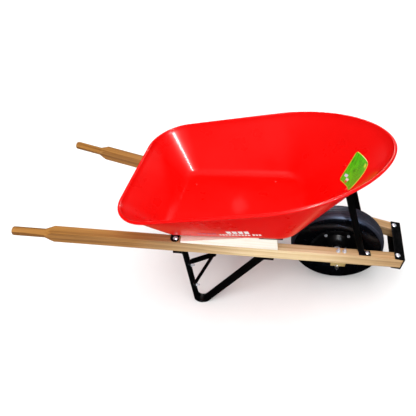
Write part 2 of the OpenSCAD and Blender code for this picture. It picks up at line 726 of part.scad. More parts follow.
module ubolt() {
    top = half_h + 14;
    on_handle(axle_s) {
        for (i = [-1, 1]) translate([i*ubolt_dx, 0, ubolt_b]) cylinder(d = ubolt_d, h = top - ubolt_b);
        translate([0, 0, ubolt_b]) rotate([-90, 0, 0]) rotate_extrude(angle = 180)
            translate([ubolt_dx, 0]) circle(d = ubolt_d);
    }
}
module ubolt_right() {
    color(zinc) ubolt();
}
module ubolt_left() {
    color(zinc) mirrored() ubolt();
}
module ubolt_nut_pair() {
    for (i = [-1, 1]) on_handle(axle_s + i*ubolt_dx) translate([0, 0, half_h]) {
        difference() {
            cylinder(d = 2.1*ubolt_d, h = 1.5);
            translate([0, 0, -1]) cylinder(d = ubolt_d + 0.2, h = 4);
        }
        translate([0, 0, 1.5]) hex_nut(ubolt_d, 0.85*ubolt_d);
    }
}
module ubolt_nuts() {
    color(zinc) ubolt_nut_pair();
    color(zinc) mirrored() ubolt_nut_pair();
}
pin_d = 3.2;
pin_y = axle_half - 4;
module axle() {
    color("DarkGray") difference() {
        at_axle() cylinder(d = axle_d, h = 2*axle_half, center = true);
        for (i = [-1, 1]) translate([axle_x, i*pin_y, axle_z]) cylinder(d = pin_d + 0.3, h = 60, center = true);
    }
}
module axle_pins() {
    color(zinc) for (i = [-1, 1]) translate([axle_x, i*pin_y, axle_z]) {
        cylinder(d = pin_d, h = axle_d + 10, center = true);
        translate([0, 0, axle_d/2 + 5]) sphere(d = pin_d*1.9);
    }
}
hub_half = 38;
spacer_end = axle_y - block_w/2/cos(toe) - axle_d*tan(toe) - 1;
module axle_spacers() {
    color(black) for (i = [-1, 1]) translate([axle_x, i*(hub_half + 0.3), axle_z]) rotate([-i*90, 0, 0])
        difference() {
            cylinder(d = axle_d + 7, h = spacer_end - hub_half);
            translate([0, 0, -1]) cylinder(d = axle_d + 0.1, h = spacer_end);
        }
}

// ---- Wheel ----
rim_r = rim_d/2;
tyre_r = wheel_d/2;
sect_r = (tyre_r - rim_r)*0.52;
sect_c = tyre_r - sect_r;
sect_w = tyre_w/2;
rim_half = rim_w/2;
rim_t = 2.5;
flange_h = 11;
hub_r = 20;
function lobe(a, ar, aw, ex) = [sect_c + sign(cos(a))*ar*pow(abs(cos(a)), 2/ex),
    sign(sin(a))*aw*pow(abs(sin(a)), 2/ex)];
module lobe_shape(cut) {
    polygon([for (a = [0:5:355]) lobe(a + 2.5, sect_r - cut, sect_w - 0.75*cut, 2.5)]);
}
module tyre() {
    color(rubber) at_axle() rotate_extrude($fn = 128) difference() {
        lobe_shape(0);
        lobe_shape(7);
        translate([0, -sect_w]) square([rim_r + 0.1, tyre_w]);
        translate([rim_r - 5, -rim_half*0.55]) square([sect_r, rim_half*1.1]);
        for (i = [-1, 1]) translate([0, i*(rim_half - 0.1 + sect_w/2) - sect_w/2])
            square([rim_r + flange_h + 1, sect_w]);
        for (i = [-3:3]) translate([tyre_r - 3.2 - abs(i)*abs(i)*0.42, i*sect_w*0.21 - 1])
            square([12, 2]);
    }
}
module inner_tube() {
    color("#404040") at_axle() rotate_extrude($fn = 96) difference() {
        lobe_shape(7.6);
        lobe_shape(10.4);
    }
}
rim_path = [[rim_r + flange_h - 1, rim_half + rim_t/2], [rim_r - rim_t/2, rim_half + rim_t/2],
    [rim_r - rim_t/2, 9], [rim_r - 15, rim_t/2 + 0.05], [52, rim_t/2 + 0.05], [34, 18], [hub_r + 0.1, 22]];
rim_bolt_r = 68;
module rim_half_solid() {
    difference() {
        rotate_extrude($fn = 96) polygon(strip(rim_path, rim_t));
        for (a = [45:90:315]) rotate([0, 0, a]) translate([rim_bolt_r, 0, -1])
            cylinder(d = small_d + 2*play, h = 6);
        cylinder(r = hub_r + 0.1, h = 60);
    }
}
stem_a = -150;
stem_y = 12;
module rim_right() {
    color(black) at_axle() difference() {
        rim_half_solid();
        rotate([0, 0, stem_a]) translate([rim_r - 20, 0, stem_y]) rotate([0, 90, 0]) cylinder(d = 9, h = 30);
    }
}
module rim_left() {
    color(black) at_axle() mirror([0, 0, 1]) rim_half_solid();
}
module rim_bolts() {
    color(zinc) at_axle() for (a = [45:90:315]) rotate([0, 0, a])
        translate([rim_bolt_r, 0, rim_t + 0.1]) hex_bolt(small_d, 2*rim_t + 0.2 + 0.8*small_d + 2);
}
module rim_nuts() {
    color(zinc) at_axle() for (a = [45:90:315]) rotate([0, 0, a])
        translate([rim_bolt_r, 0, -rim_t - 0.1 - 0.8*small_d]) hex_nut(small_d, 0.8*small_d);
}
bearing_r = 17.5;
bearing_w = 11;
module hub() {
    color(black) at_axle() difference() {
        cylinder(r = hub_r, h = 2*hub_half, center = true);
        cylinder(r = bearing_r - 2, h = 2*hub_half + 2, center = true);
        for (i = [0, 1]) mirror([0, 0, i]) translate([0, 0, hub_half - bearing_w])
            cylinder(r = bearing_r + 0.05, h = bearing_w + 1);
    }
}
module bearing() {
    at_axle() translate([0, 0, hub_half - bearing_w]) rotate_extrude($fn = 96)
        polygon([[axle_d/2 + 0.05, 0.1], [bearing_r, 0.1], [bearing_r, bearing_w], [bearing_r - 3, bearing_w],
            [bearing_r - 3.6, bearing_w - 0.8], [axle_d/2 + 3.6, bearing_w - 0.8],
            [axle_d/2 + 3, bearing_w], [axle_d/2 + 0.05, bearing_w]]);
}
module bearing_right() {
    color(zinc) bearing();
}
module bearing_left() {
    color(zinc) mirrored() bearing();
}
module at_stem() {
    at_axle() rotate([0, 0, stem_a]) translate([0, 0, stem_y]) rotate([0, 90, 0]) children();
}
stem_top = sect_c - (sect_r - 7.6) + 0.1;
module valve_stem() {
    color(rubber) at_stem() {
        translate([0, 0, rim_r - 22]) cylinder(d = 5.5, h = 10);
        translate([0, 0, rim_r - 14]) cylinder(d = 8.4, h = stem_top - rim_r + 13.7);
    }
}
module valve_cap() {
    color(black) at_stem() difference() {
        translate([0, 0, rim_r - 26]) cylinder(d = 8.4, h = 11);
        translate([0, 0, rim_r - 22.3]) cylinder(d = 5.8, h = 12);
    }
}

handle_right();
handle_left();
tray();
nose_label();
side_decals();
rear_bolster();
front_bolster();
wedge_right();
wedge_left();
tray_bolts();
tray_nuts();
nose_brace_right();
nose_brace_left();
nose_brace_bolts();
nose_brace_nuts();
nose_bar();
nose_bolts();
nose_nuts();
leg_right();
leg_left();
leg_bolts();
leg_nuts();
upper_brace();
lower_brace();
brace_bolts();
brace_nuts();
axle_block_right();
axle_block_left();
ubolt_right();
ubolt_left();
ubolt_nuts();
axle();
axle_pins();
axle_spacers();
tyre();
inner_tube();
rim_right();
rim_left();
rim_bolts();
rim_nuts();
hub();
bearing_right();
bearing_left();
valve_stem();
valve_cap();
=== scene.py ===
import json
import math
import bpy
import bmesh
from mathutils import Matrix, Vector

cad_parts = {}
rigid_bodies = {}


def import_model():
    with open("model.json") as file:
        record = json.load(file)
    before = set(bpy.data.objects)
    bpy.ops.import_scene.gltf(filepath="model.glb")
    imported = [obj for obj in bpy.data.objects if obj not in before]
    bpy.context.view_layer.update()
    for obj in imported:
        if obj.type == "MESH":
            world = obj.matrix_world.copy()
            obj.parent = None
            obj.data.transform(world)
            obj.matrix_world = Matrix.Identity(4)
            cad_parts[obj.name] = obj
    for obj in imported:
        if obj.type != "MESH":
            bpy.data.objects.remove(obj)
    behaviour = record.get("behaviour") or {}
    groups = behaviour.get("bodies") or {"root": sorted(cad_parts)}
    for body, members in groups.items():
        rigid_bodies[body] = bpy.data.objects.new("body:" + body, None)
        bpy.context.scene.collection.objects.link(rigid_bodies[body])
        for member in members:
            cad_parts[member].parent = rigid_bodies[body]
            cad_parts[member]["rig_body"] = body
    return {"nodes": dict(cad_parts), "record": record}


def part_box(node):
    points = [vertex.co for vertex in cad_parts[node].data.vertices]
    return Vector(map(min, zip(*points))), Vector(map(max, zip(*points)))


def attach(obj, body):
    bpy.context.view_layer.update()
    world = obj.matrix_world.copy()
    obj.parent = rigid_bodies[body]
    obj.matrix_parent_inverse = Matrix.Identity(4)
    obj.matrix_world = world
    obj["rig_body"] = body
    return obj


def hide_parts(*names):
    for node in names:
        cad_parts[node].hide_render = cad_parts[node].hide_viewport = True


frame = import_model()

MM = 0.001
# The right-hand handle's slope towards the wheel, and its turn towards the other handle
HANDLE_DROP = math.radians(11.17)
HANDLE_TOE = math.radians(7.455)
# The tyre's tread: depth of the blend below its outside, and waves per metre times 2 pi of the painted shade
# in its grooves
TREAD_LOW, TREAD_HIGH = 0.017, 0.009
TREAD_GROOVES = 720.0
SIDE_RINGS = 2100.0
# CAD nodes: edges sharper than EASE_ANGLE are eased, and shading breaks past SPLIT_ANGLE
WELD_REACH = 0.00002
EASE_ANGLE = math.radians(40)
SPLIT_ANGLE = math.radians(33)
# Height that parts the nose braces' upper bolts from the lower ones
UPPER_BOLTS_Z = 0.4

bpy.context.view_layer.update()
nodes = frame["nodes"]


# ---------------------------------------------------------------- node helpers
class Mat:
    """A material with short calls for its nodes."""

    def __init__(self, name):
        self.m = bpy.data.materials.new(name)
        self.m.use_nodes = True
        self.t = self.m.node_tree
        self.t.nodes.clear()
        self.out = self.t.nodes.new("ShaderNodeOutputMaterial")
        self.b = self.t.nodes.new("ShaderNodeBsdfPrincipled")
        self.t.links.new(self.b.outputs[0], self.out.inputs[0])

    def node(self, kind, **kw):
        n = self.t.nodes.new(kind)
        for k, v in kw.items():
            setattr(n, k, v)
        return n

    def link(self, a, b):
        self.t.links.new(a, b)

    def set(self, **kw):
        for k, v in kw.items():
            self.b.inputs[k.replace("_", " ")].default_value = v

    def coords(self):
        return self.node("ShaderNodeTexCoord").outputs["Object"]

    def uv(self):
        return self.node("ShaderNodeTexCoord").outputs["UV"]

    def put(self, value, socket):
        if isinstance(value, (int, float, tuple)):
            socket.default_value = value
        else:
            self.link(value, socket)

    def math(self, op, a, b=0.0, c=0.0, clamp=False):
        n = self.node("ShaderNodeMath", operation=op, use_clamp=clamp)
        for v, s in zip((a, b, c), n.inputs):
            self.put(v, s)
        return n.outputs[0]

    def dot(self, a, v):
        n = self.node("ShaderNodeVectorMath", operation="DOT_PRODUCT")
        self.link(a, n.inputs[0])
        n.inputs[1].default_value = v
        return n.outputs["Value"]

    def scale(self, a, v):
        n = self.node("ShaderNodeVectorMath", operation="MULTIPLY")
        self.link(a, n.inputs[0])
        n.inputs[1].default_value = v
        return n.outputs[0]

    def xyz(self, a, b, c):
        n = self.node("ShaderNodeCombineXYZ")
        for v, s in zip((a, b, c), n.inputs):
            self.put(v, s)
        return n.outputs[0]

    def noise(self, vec, scale, detail=4.0, rough=0.5, distort=0.0):
        n = self.node("ShaderNodeTexNoise")
        self.link(vec, n.inputs["Vector"])
        n.inputs["Scale"].default_value = scale
        n.inputs["Detail"].default_value = detail
        n.inputs["Roughness"].default_value = rough
        n.inputs["Distortion"].default_value = distort
        return n.outputs["Fac"]

    def voronoi(self, vec, scale):
        n = self.node("ShaderNodeTexVoronoi")
        self.link(vec, n.inputs["Vector"])
        n.inputs["Scale"].default_value = scale
        return n.outputs["Distance"]

    def range(self, v, a, b, c=0.0, d=1.0):
        n = self.node("ShaderNodeMapRange")
        self.put(v, n.inputs[0])
        for x, s in zip((a, b, c, d), list(n.inputs)[1:5]):
            s.default_value = x
        return n.outputs[0]

    def ramp(self, v, *stops):
        n = self.node("ShaderNodeValToRGB")
        self.link(v, n.inputs[0])
        e = n.color_ramp.elements
        while len(e) < len(stops):
            e.new(0.5)
        for el, (p, c) in zip(e, stops):
            el.position = p
            el.color = (*c, 1.0)
        return n.outputs[0]

    def mix(self, f, a, b, mode="MIX"):
        n = self.node("ShaderNodeMix", data_type="RGBA", blend_type=mode)
        self.put(f, n.inputs[0])
        for v, s in ((a, n.inputs[6]), (b, n.inputs[7])):
            self.put((*v, 1.0) if isinstance(v, tuple) and len(v) == 3 else v, s)
        return n.outputs[2]

    def bump(self, height, strength, distance):
        n = self.node("ShaderNodeBump")
        n.inputs["Strength"].default_value = strength
        n.inputs["Distance"].default_value = distance
        self.link(height, n.inputs["Height"])
        self.link(n.outputs[0], self.b.inputs["Normal"])

    def color(self, c):
        self.put((*c, 1.0) if isinstance(c, tuple) else c, self.b.inputs["Base Color"])

    def rough(self, r):
        self.put(r, self.b.inputs["Roughness"])


def edge_wear(m, p, reach, seed):
    """1 on worn edges, 0 elsewhere, broken up by noise."""
    g = m.node("ShaderNodeNewGeometry")
    edge = m.range(g.outputs["Pointiness"], 0.52, 0.62)
    spots = m.range(m.noise(m.scale(p, (1, 1, 1.001)), seed, 6), 0.45, 0.62)
    return m.math("MULTIPLY", m.math("MULTIPLY", edge, spots), reach, clamp=True)


# ---------------------------------------------------------------- materials
def red_paint():
    m = Mat("red_paint")
    p = m.coords()
    cloud = m.noise(p, 2.2, 3)
    base = m.ramp(cloud, (0.3, (0.76, 0.0008, 0.0004)), (0.7, (0.86, 0.0016, 0.0006)))
    dust = m.range(m.noise(p, 60, 8, 0.7), 0.60, 0.8, 0.0, 0.05)
    m.color(m.mix(dust, base, (0.62, 0.012, 0.006)))
    m.rough(m.range(m.noise(p, 9, 5), 0.2, 0.8, 0.24, 0.36))
    peel = m.noise(p, 420, 2)
    m.bump(peel, 0.08, 0.0006)
    m.set(Specular_IOR_Level=0.16, Coat_Weight=0.25, Coat_Roughness=0.09)
    return m.m


def handle_axes():
    """The right-hand handle's own directions: along it, across it and square to both."""
    drop, toe = HANDLE_DROP, HANDLE_TOE
    along = Vector((math.cos(drop) * math.cos(toe), -math.cos(drop) * math.sin(toe), -math.sin(drop)))
    across = Vector((math.sin(toe), math.cos(toe), 0.0))
    up = across.cross(along)
    return along, across, up if up.z > 0 else -up


# Share of brown in the wood, against the place along the handle from the grip's end to the nose
BROWN_SHARE = ((0.0, 1), (0.22, 0.95), (0.36, 0.62), (0.46, 0.38), (0.56, 0.02), (0.67, 0.04), (0.78, 0.42),
               (0.90, 0.66))


def hardwood(name, pale):
    """Ash or oak with long straight grain: the grain runs along the handle on both sides."""
    m = Mat(name)
    p = m.coords()
    sep = m.node("ShaderNodeSeparateXYZ")
    m.link(p, sep.inputs[0])
    mirror = m.xyz(sep.outputs[0], m.math("ABSOLUTE", sep.outputs[1]), sep.outputs[2])
    side = m.math("GREATER_THAN", sep.outputs[1], 0.0)
    along, across, up = handle_axes()
    s = m.dot(mirror, tuple(along))
    a = m.math("ADD", m.dot(mirror, tuple(across)), m.math("MULTIPLY", side, 1.7))
    b = m.dot(mirror, tuple(up))
    q = m.xyz(s, a, b)
    warp = m.noise(m.scale(q, (1.6, 14, 14)), 1.0, 3)
    bent = m.xyz(s, m.math("ADD", a, m.math("MULTIPLY", warp, 0.030)),
                 m.math("ADD", b, m.math("MULTIPLY", warp, 0.022)))
    rings = m.node("ShaderNodeTexWave", wave_type="BANDS", bands_direction="DIAGONAL", wave_profile="SAW")
    m.link(m.scale(bent, (0.30, 15, 24)), rings.inputs["Vector"])
    rings.inputs["Scale"].default_value = 1.0
    rings.inputs["Distortion"].default_value = 2.2
    rings.inputs["Detail"].default_value = 3.0
    rings.inputs["Detail Scale"].default_value = 0.7
    streak = m.noise(m.scale(q, (3.2, 150, 150)), 1.0, 6, 0.62)
    pores = m.noise(m.scale(q, (22, 900, 900)), 1.0, 3, 0.7)
    fleck = m.range(pores, 0.60, 0.72)
    grain = m.math("ADD", m.math("MULTIPLY", rings.outputs["Fac"], 0.26), m.math("MULTIPLY", streak, 0.72))
    if pale:
        col = m.ramp(grain, (0.25, (1.0, 0.96, 0.88)), (0.50, (0.96, 0.90, 0.79)),
                     (0.78, (0.88, 0.78, 0.62)))
    else:
        brown = m.ramp(grain, (0.25, (0.44, 0.20, 0.045)), (0.50, (0.30, 0.125, 0.022)),
                       (0.76, (0.12, 0.040, 0.006)))
        blond = m.ramp(grain, (0.22, (0.88, 0.74, 0.48)), (0.52, (0.76, 0.57, 0.31)),
                       (0.86, (0.56, 0.36, 0.16)))
        # Brown at the grips, palest under the tray, browner again towards the nose
        tone = m.noise(m.scale(q, (2.4, 9, 9)), 1.0, 2)
        far = m.math("ADD", m.range(s, -0.75, 0.75),
                     m.math("MULTIPLY", m.math("SUBTRACT", tone, 0.5), 0.16))
        share = m.ramp(far, *[(at, (v, v, v)) for at, v in BROWN_SHARE])
        col = m.mix(share, blond, brown)
    col = m.mix(m.math("MULTIPLY", fleck, 0.30), col, (0.22, 0.10, 0.03))
    # End grain where the face looks along the piece
    g = m.node("ShaderNodeNewGeometry")
    n = m.node("ShaderNodeVectorTransform", vector_type="NORMAL", convert_from="WORLD", convert_to="OBJECT")
    m.link(g.outputs["Normal"], n.inputs[0])
    ns = m.node("ShaderNodeSeparateXYZ")
    m.link(n.outputs[0], ns.inputs[0])
    facing = m.math("ABSOLUTE", ns.outputs[0])
    cut = m.range(facing, 0.30, 0.62)
    endg = m.ramp(m.voronoi(m.scale(q, (30, 330, 330)), 1.0),
                  (0.1, (0.42, 0.26, 0.11)), (0.55, (0.62, 0.45, 0.25)))
    col = m.mix(m.math("MULTIPLY", cut, 0.7), col, endg)
    m.color(col)
    m.rough(m.range(streak, 0.2, 0.8, 0.40, 0.62))
    m.bump(m.math("ADD", m.math("MULTIPLY", streak, 0.7), m.math("MULTIPLY", fleck, -0.35)), 0.22, 0.0006)
    m.set(Specular_IOR_Level=0.25, Coat_Weight=0.06, Coat_Roughness=0.35)
    return m.m


def black_paint():
    m = Mat("black_paint")
    p = m.coords()
    base = m.ramp(m.noise(p, 18, 5), (0.3, (0.0008, 0.0008, 0.0010)), (0.7, (0.0024, 0.0024, 0.0028)))
    wear = edge_wear(m, p, 0.5, 90)
    m.color(m.mix(wear, base, (0.02, 0.02, 0.022)))
    m.rough(m.range(m.noise(p, 34, 5), 0.25, 0.8, 0.26, 0.46))
    m.bump(m.noise(p, 900, 3), 0.12, 0.0004)
    m.set(Specular_IOR_Level=0.16, Coat_Weight=0.04, Coat_Roughness=0.2)
    return m.m


def zinc():
    m = Mat("zinc")
    p = m.coords()
    patch = m.voronoi(p, 900)
    base = m.ramp(m.noise(p, 160, 4), (0.3, (0.52, 0.55, 0.60)), (0.7, (0.78, 0.81, 0.86)))
    m.color(m.mix(m.range(patch, 0.1, 0.5, 0.0, 0.35), base, (0.62, 0.66, 0.74)))
    m.rough(m.range(m.noise(p, 300, 5), 0.25, 0.8, 0.20, 0.42))
    m.bump(m.noise(p, 1400, 3), 0.15, 0.0003)
    m.set(Metallic=0.4)
    return m.m


def axle_steel():
    m = Mat("axle_steel")
    p = m.coords()
    turned = m.noise(m.scale(p, (20, 2600, 20)), 1.0, 3)
    m.color(m.ramp(turned, (0.3, (0.36, 0.36, 0.37)), (0.7, (0.60, 0.60, 0.61))))
    m.rough(m.range(m.noise(p, 80, 5), 0.25, 0.8, 0.28, 0.5))
    m.bump(turned, 0.15, 0.0003)
    m.set(Metallic=1.0)
    return m.m


def cast_block():
    m = Mat("yellow_block")
    p = m.coords()
    m.color(m.ramp(m.noise(p, 70, 6, 0.65), (0.25, (0.30, 0.20, 0.06)), (0.5, (0.50, 0.36, 0.13)),
                   (0.8, (0.64, 0.50, 0.24))))
    m.rough(m.range(m.noise(p, 60, 5), 0.2, 0.8, 0.45, 0.7))
    m.bump(m.noise(p, 500, 5), 0.4, 0.0006)
    m.set(Metallic=0.35)
    return m.m


def tyre_rubber():
    m = Mat("tyre_rubber")
    p = m.coords()
    lo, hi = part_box("tyre")
    c = (lo + hi) / 2
    sep = m.node("ShaderNodeSeparateXYZ")
    m.link(p, sep.inputs[0])
    dx = m.math("SUBTRACT", sep.outputs[0], c.x)
    dz = m.math("SUBTRACT", sep.outputs[2], c.z)
    r = m.math("SQRT", m.math("ADD", m.math("MULTIPLY", dx, dx), m.math("MULTIPLY", dz, dz)))
    outside = (hi.z - lo.z) / 2
    tread = m.range(r, outside - TREAD_LOW, outside - TREAD_HIGH)
    scuff = m.noise(p, 45, 6, 0.65)
    side = m.ramp(scuff, (0.3, (0.0004, 0.0004, 0.0008)), (0.75, (0.0014, 0.0014, 0.0024)))
    top = m.ramp(scuff, (0.3, (0.020, 0.020, 0.027)), (0.75, (0.052, 0.051, 0.066)))
    # Narrow dark bands across the tread: painted shade in its grooves
    across = m.math("SINE", m.math("MULTIPLY", sep.outputs[1], TREAD_GROOVES))
    groove_shade = m.math("MULTIPLY", m.range(across, 0.1, 0.7), 0.75)
    m.color(m.mix(tread, side, m.mix(groove_shade, top, (0.006, 0.006, 0.008))))
    m.rough(m.math("ADD", m.range(scuff, 0.2, 0.8, 0.22, 0.30), m.math("MULTIPLY", tread, 0.3)))
    ribs = m.math("SINE", m.math("MULTIPLY", r, SIDE_RINGS))
    fine = m.math("ADD", m.math("MULTIPLY", m.noise(p, 500, 4), 0.35), m.math("MULTIPLY", ribs, 0.10))
    m.bump(fine, 0.15, 0.0005)
    m.set(Specular_IOR_Level=0.6, Specular_Tint=(0.55, 0.68, 1.0, 1.0))
    return m.m


def rubber():
    m = Mat("tube_rubber")
    p = m.coords()
    m.color(m.ramp(m.noise(p, 50, 5), (0.3, (0.012, 0.012, 0.012)), (0.75, (0.028, 0.028, 0.028))))
    m.rough(m.range(m.noise(p, 40, 4), 0.2, 0.8, 0.45, 0.6))
    m.bump(m.noise(p, 600, 3), 0.2, 0.0004)
    return m.m


def plastic():
    m = Mat("black_plastic")
    p = m.coords()
    m.color(m.ramp(m.noise(p, 80, 4), (0.3, (0.010, 0.010, 0.010)), (0.7, (0.022, 0.022, 0.022))))
    m.rough(m.range(m.noise(p, 120, 4), 0.2, 0.8, 0.38, 0.52))
    m.bump(m.noise(p, 1500, 2), 0.2, 0.0003)
    return m.m


def inside(m, u, v, u0, u1, v0, v1, soft=0.01):
    """1 inside a rectangle in u and v, with a soft edge."""
    f = m.range(u, u0 - soft, u0 + soft)
    for s, a, b in ((u, u1 + soft, u1 - soft), (v, v0 - soft, v0 + soft), (v, v1 + soft, v1 - soft)):
        f = m.math("MULTIPLY", f, m.range(s, a, b))
    return f


def label_paper():
    """Green sticker with a pale border, leaf-like streaks and a few plain patches."""
    m = Mat("green_label")
    uv = m.uv()
    sep = m.node("ShaderNodeSeparateXYZ")
    m.link(uv, sep.inputs[0])
    u, v = sep.outputs[0], sep.outputs[1]
    blades = m.noise(m.scale(uv, (26, 5, 1)), 1.0, 4, 0.6, 0.6)
    green = m.ramp(blades, (0.34, (0.012, 0.16, 0.002)), (0.46, (0.045, 0.44, 0.003)),
                   (0.72, (0.11, 0.60, 0.006)))
    red = m.range(m.noise(m.scale(uv, (7, 4, 1)), 1.0, 2), 0.66, 0.72, 0.0, 0.5)
    green = m.mix(red, green, (0.50, 0.20, 0.03))
    green = m.mix(inside(m, u, v, 0.30, 0.46, 0.12, 0.19), green, (0.80, 0.62, 0.66))
    green = m.mix(inside(m, u, v, 0.30, 0.44, 0.05, 0.11), green, (0.70, 0.05, 0.03))
    green = m.mix(inside(m, u, v, 0.12, 0.30, 0.20, 0.29), green, (0.62, 0.60, 0.74))
    green = m.mix(inside(m, u, v, 0.78, 0.90, 0.74, 0.88, 0.03), green, (0.62, 0.72, 0.05))
    lines = m.range(m.math("SINE", m.math("MULTIPLY", v, 95.0)), 0.2, 0.5)
    rows = m.math("MULTIPLY", lines, inside(m, u, v, 0.45, 0.72, 0.30, 0.85))
    green = m.mix(m.math("MULTIPLY", rows, 0.5), green, (0.04, 0.16, 0.01))
    keep = inside(m, u, v, 0.035, 0.965, 0.022, 0.978, 0.006)
    m.color(m.mix(keep, (0.62, 0.62, 0.06), green))
    m.rough(m.range(m.noise(uv, 30, 4), 0.2, 0.8, 0.28, 0.45))
    m.bump(m.noise(uv, 90, 4), 0.05, 0.0005)
    m.set(Specular_IOR_Level=0.4, Coat_Weight=0.2, Coat_Roughness=0.2)
    return m.m


def white_ink():
    m = Mat("white_decal")
    p = m.coords()
    sep = m.node("ShaderNodeSeparateXYZ")
    m.link(p, sep.inputs[0])
    lo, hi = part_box("side_decals")
    fade = m.range(sep.outputs[0], lo.x + (hi.x - lo.x) * 0.30, lo.x + (hi.x - lo.x) * 0.36)
    worn = m.range(m.noise(p, 260, 5, 0.65), 0.50, 0.68, 0.0, 0.5)
    white = m.mix(worn, (0.90, 0.88, 0.86), (0.80, 0.30, 0.25))
    m.color(m.mix(fade, (0.62, 0.12, 0.20), white))
    m.rough(m.range(m.noise(p, 90, 4), 0.2, 0.8, 0.35, 0.55))
    m.bump(m.noise(p, 700, 3), 0.1, 0.0002)
    return m.m


MATS = {
    "red_paint": red_paint(),
    "hardwood": hardwood("hardwood", False),
    "pale_wood": hardwood("pale_wood", True),
    "black_paint": black_paint(),
    "zinc": zinc(),
    "axle_steel": axle_steel(),
    "yellow_block": cast_block(),
    "tyre_rubber": tyre_rubber(),
    "tube_rubber": rubber(),
    "black_plastic": plastic(),
    "green_label": label_paper(),
    "white_decal": white_ink(),
}

SLOTS = {s["node"]: s["material_slot"] for s in frame["record"]["subparts"]}


def finish_of(name):
    return "pale_wood" if name.startswith("wedge") else SLOTS[name]


def paint(o, mat):
    o.data.materials.clear()
    o.data.materials.append(MATS[mat])


def soften(o, width):
    """Eased edges and smooth round faces on a CAD node, by modifiers only."""
    weld = o.modifiers.new("weld", "WELD")
    weld.merge_threshold = WELD_REACH
    if width:
        bev = o.modifiers.new("ease", "BEVEL")
        bev.width = width
        bev.segments = 3
        bev.limit_method = "ANGLE"
        bev.angle_limit = EASE_ANGLE
        bev.use_clamp_overlap = True
        bev.miter_outer = "MITER_ARC"
    split = o.modifiers.new("split", "EDGE_SPLIT")
    split.split_angle = SPLIT_ANGLE
    o.data.polygons.foreach_set("use_smooth", [True] * len(o.data.polygons))
    if o.data.has_custom_normals:
        bpy.context.view_layer.objects.active = o
        with bpy.context.temp_override(object=o, active_object=o, selected_objects=[o]):
            bpy.ops.mesh.customdata_custom_splitnormals_clear()


EASE = {
    "handle_right": 0.0, "handle_left": 0.0, "wedge_right": 0.0015, "wedge_left": 0.0015,
    "leg_right": 0.0007, "leg_left": 0.0007, "nose_bar": 0.001, "upper_brace": 0.0007, "lower_brace": 0.0007,
    "front_bolster": 0.001, "rear_bolster": 0.0008, "nose_brace_right": 0.0008, "nose_brace_left": 0.0008,
    "axle_block_right": 0.0015, "axle_block_left": 0.0015,
}
for name, o in nodes.items():
    paint(o, finish_of(name))
    soften(o, EASE.get(name, 0.0))


# The bolt heads inside the tray's nose are painted over with it
o = nodes["nose_brace_bolts"]
o.data.materials.append(MATS["red_paint"])
upper = [int((o.matrix_world @ p.center).z > UPPER_BOLTS_Z) for p in o.data.polygons]
o.data.polygons.foreach_set("material_index", upper)


# ---------------------------------------------------------------- mesh helpers
def mesh_object(name, verts, faces, mat, body, uvs=None):
    me = bpy.data.meshes.new(name)
    me.from_pydata([tuple(v) for v in verts], [], faces)
    me.validate()
    me.update()
    me.polygons.foreach_set("use_smooth", [True] * len(me.polygons))
    if uvs is not None:
        layer = me.uv_layers.new(name="uv")
        for loop in me.loops:
            layer.data[loop.index].uv = uvs[loop.vertex_index]
    o = bpy.data.objects.new(name, me)
    bpy.context.scene.collection.objects.link(o)
    me.materials.append(MATS[mat])
    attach(o, body)
    return o


# ---------------------------------------------------------------- tray
tl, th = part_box("tray")
BEAD = 6 * MM
SHEET = 2 * MM
FILLET = 27 * MM
FLOOR_Z = tl.z
FLOOR_X = tl.x + 134 * MM
FLOOR_Y = 192 * MM
FLOOR_FX = FLOOR_X + 540 * MM
FLOOR_CX = FLOOR_X + 540 * MM * 0.8
RIM_X = tl.x + 2 * BEAD
RIM_FX = th.x - 2 * BEAD
RIM_Y = th.y - 2 * BEAD
RIM_CX = RIM_X + (RIM_FX - RIM_X) * 0.56
FLOOR_EX, RIM_EX = 3.0, 1.9
FLOOR_RC, RIM_RC = 62 * MM, 138 * MM
REAR_TOP = 169 * MM
RISE = (309 - 169) * MM / (RIM_FX - RIM_X)
FLOOR_IN = FLOOR_Z + SHEET


def rim_top(x):
    return FLOOR_Z + REAR_TOP - BEAD + (x - RIM_X) * RISE


def power(v, ex):
    return max(v, 0.0) ** (2.0 / ex)


def half_outline(xr, xc, xf, hw, rc, ex, rear=6, corner=22, side=10, front=64):
    """Left half of the tray's outline: flat rear, round corner, straight side, superellipse nose."""
    pts = [(xr, (hw - rc) * i / rear) for i in range(rear)]
    for i in range(corner):
        a = math.radians(90 * i / corner)
        pts.append((xr + rc - rc * math.cos(a), hw - rc + rc * math.sin(a)))
    pts += [(xr + rc + (xc - xr - rc) * i / side, hw) for i in range(side)]
    for i in range(front + 1):
        a = math.radians(90 * i / front)
        y = 0.0 if i == front else hw * power(math.cos(a), ex)
        pts.append((xc + (xf - xc) * power(math.sin(a), ex), y))
    return pts


def closed(h):
    return h + [(x, -y) for x, y in h[-2:0:-1]]


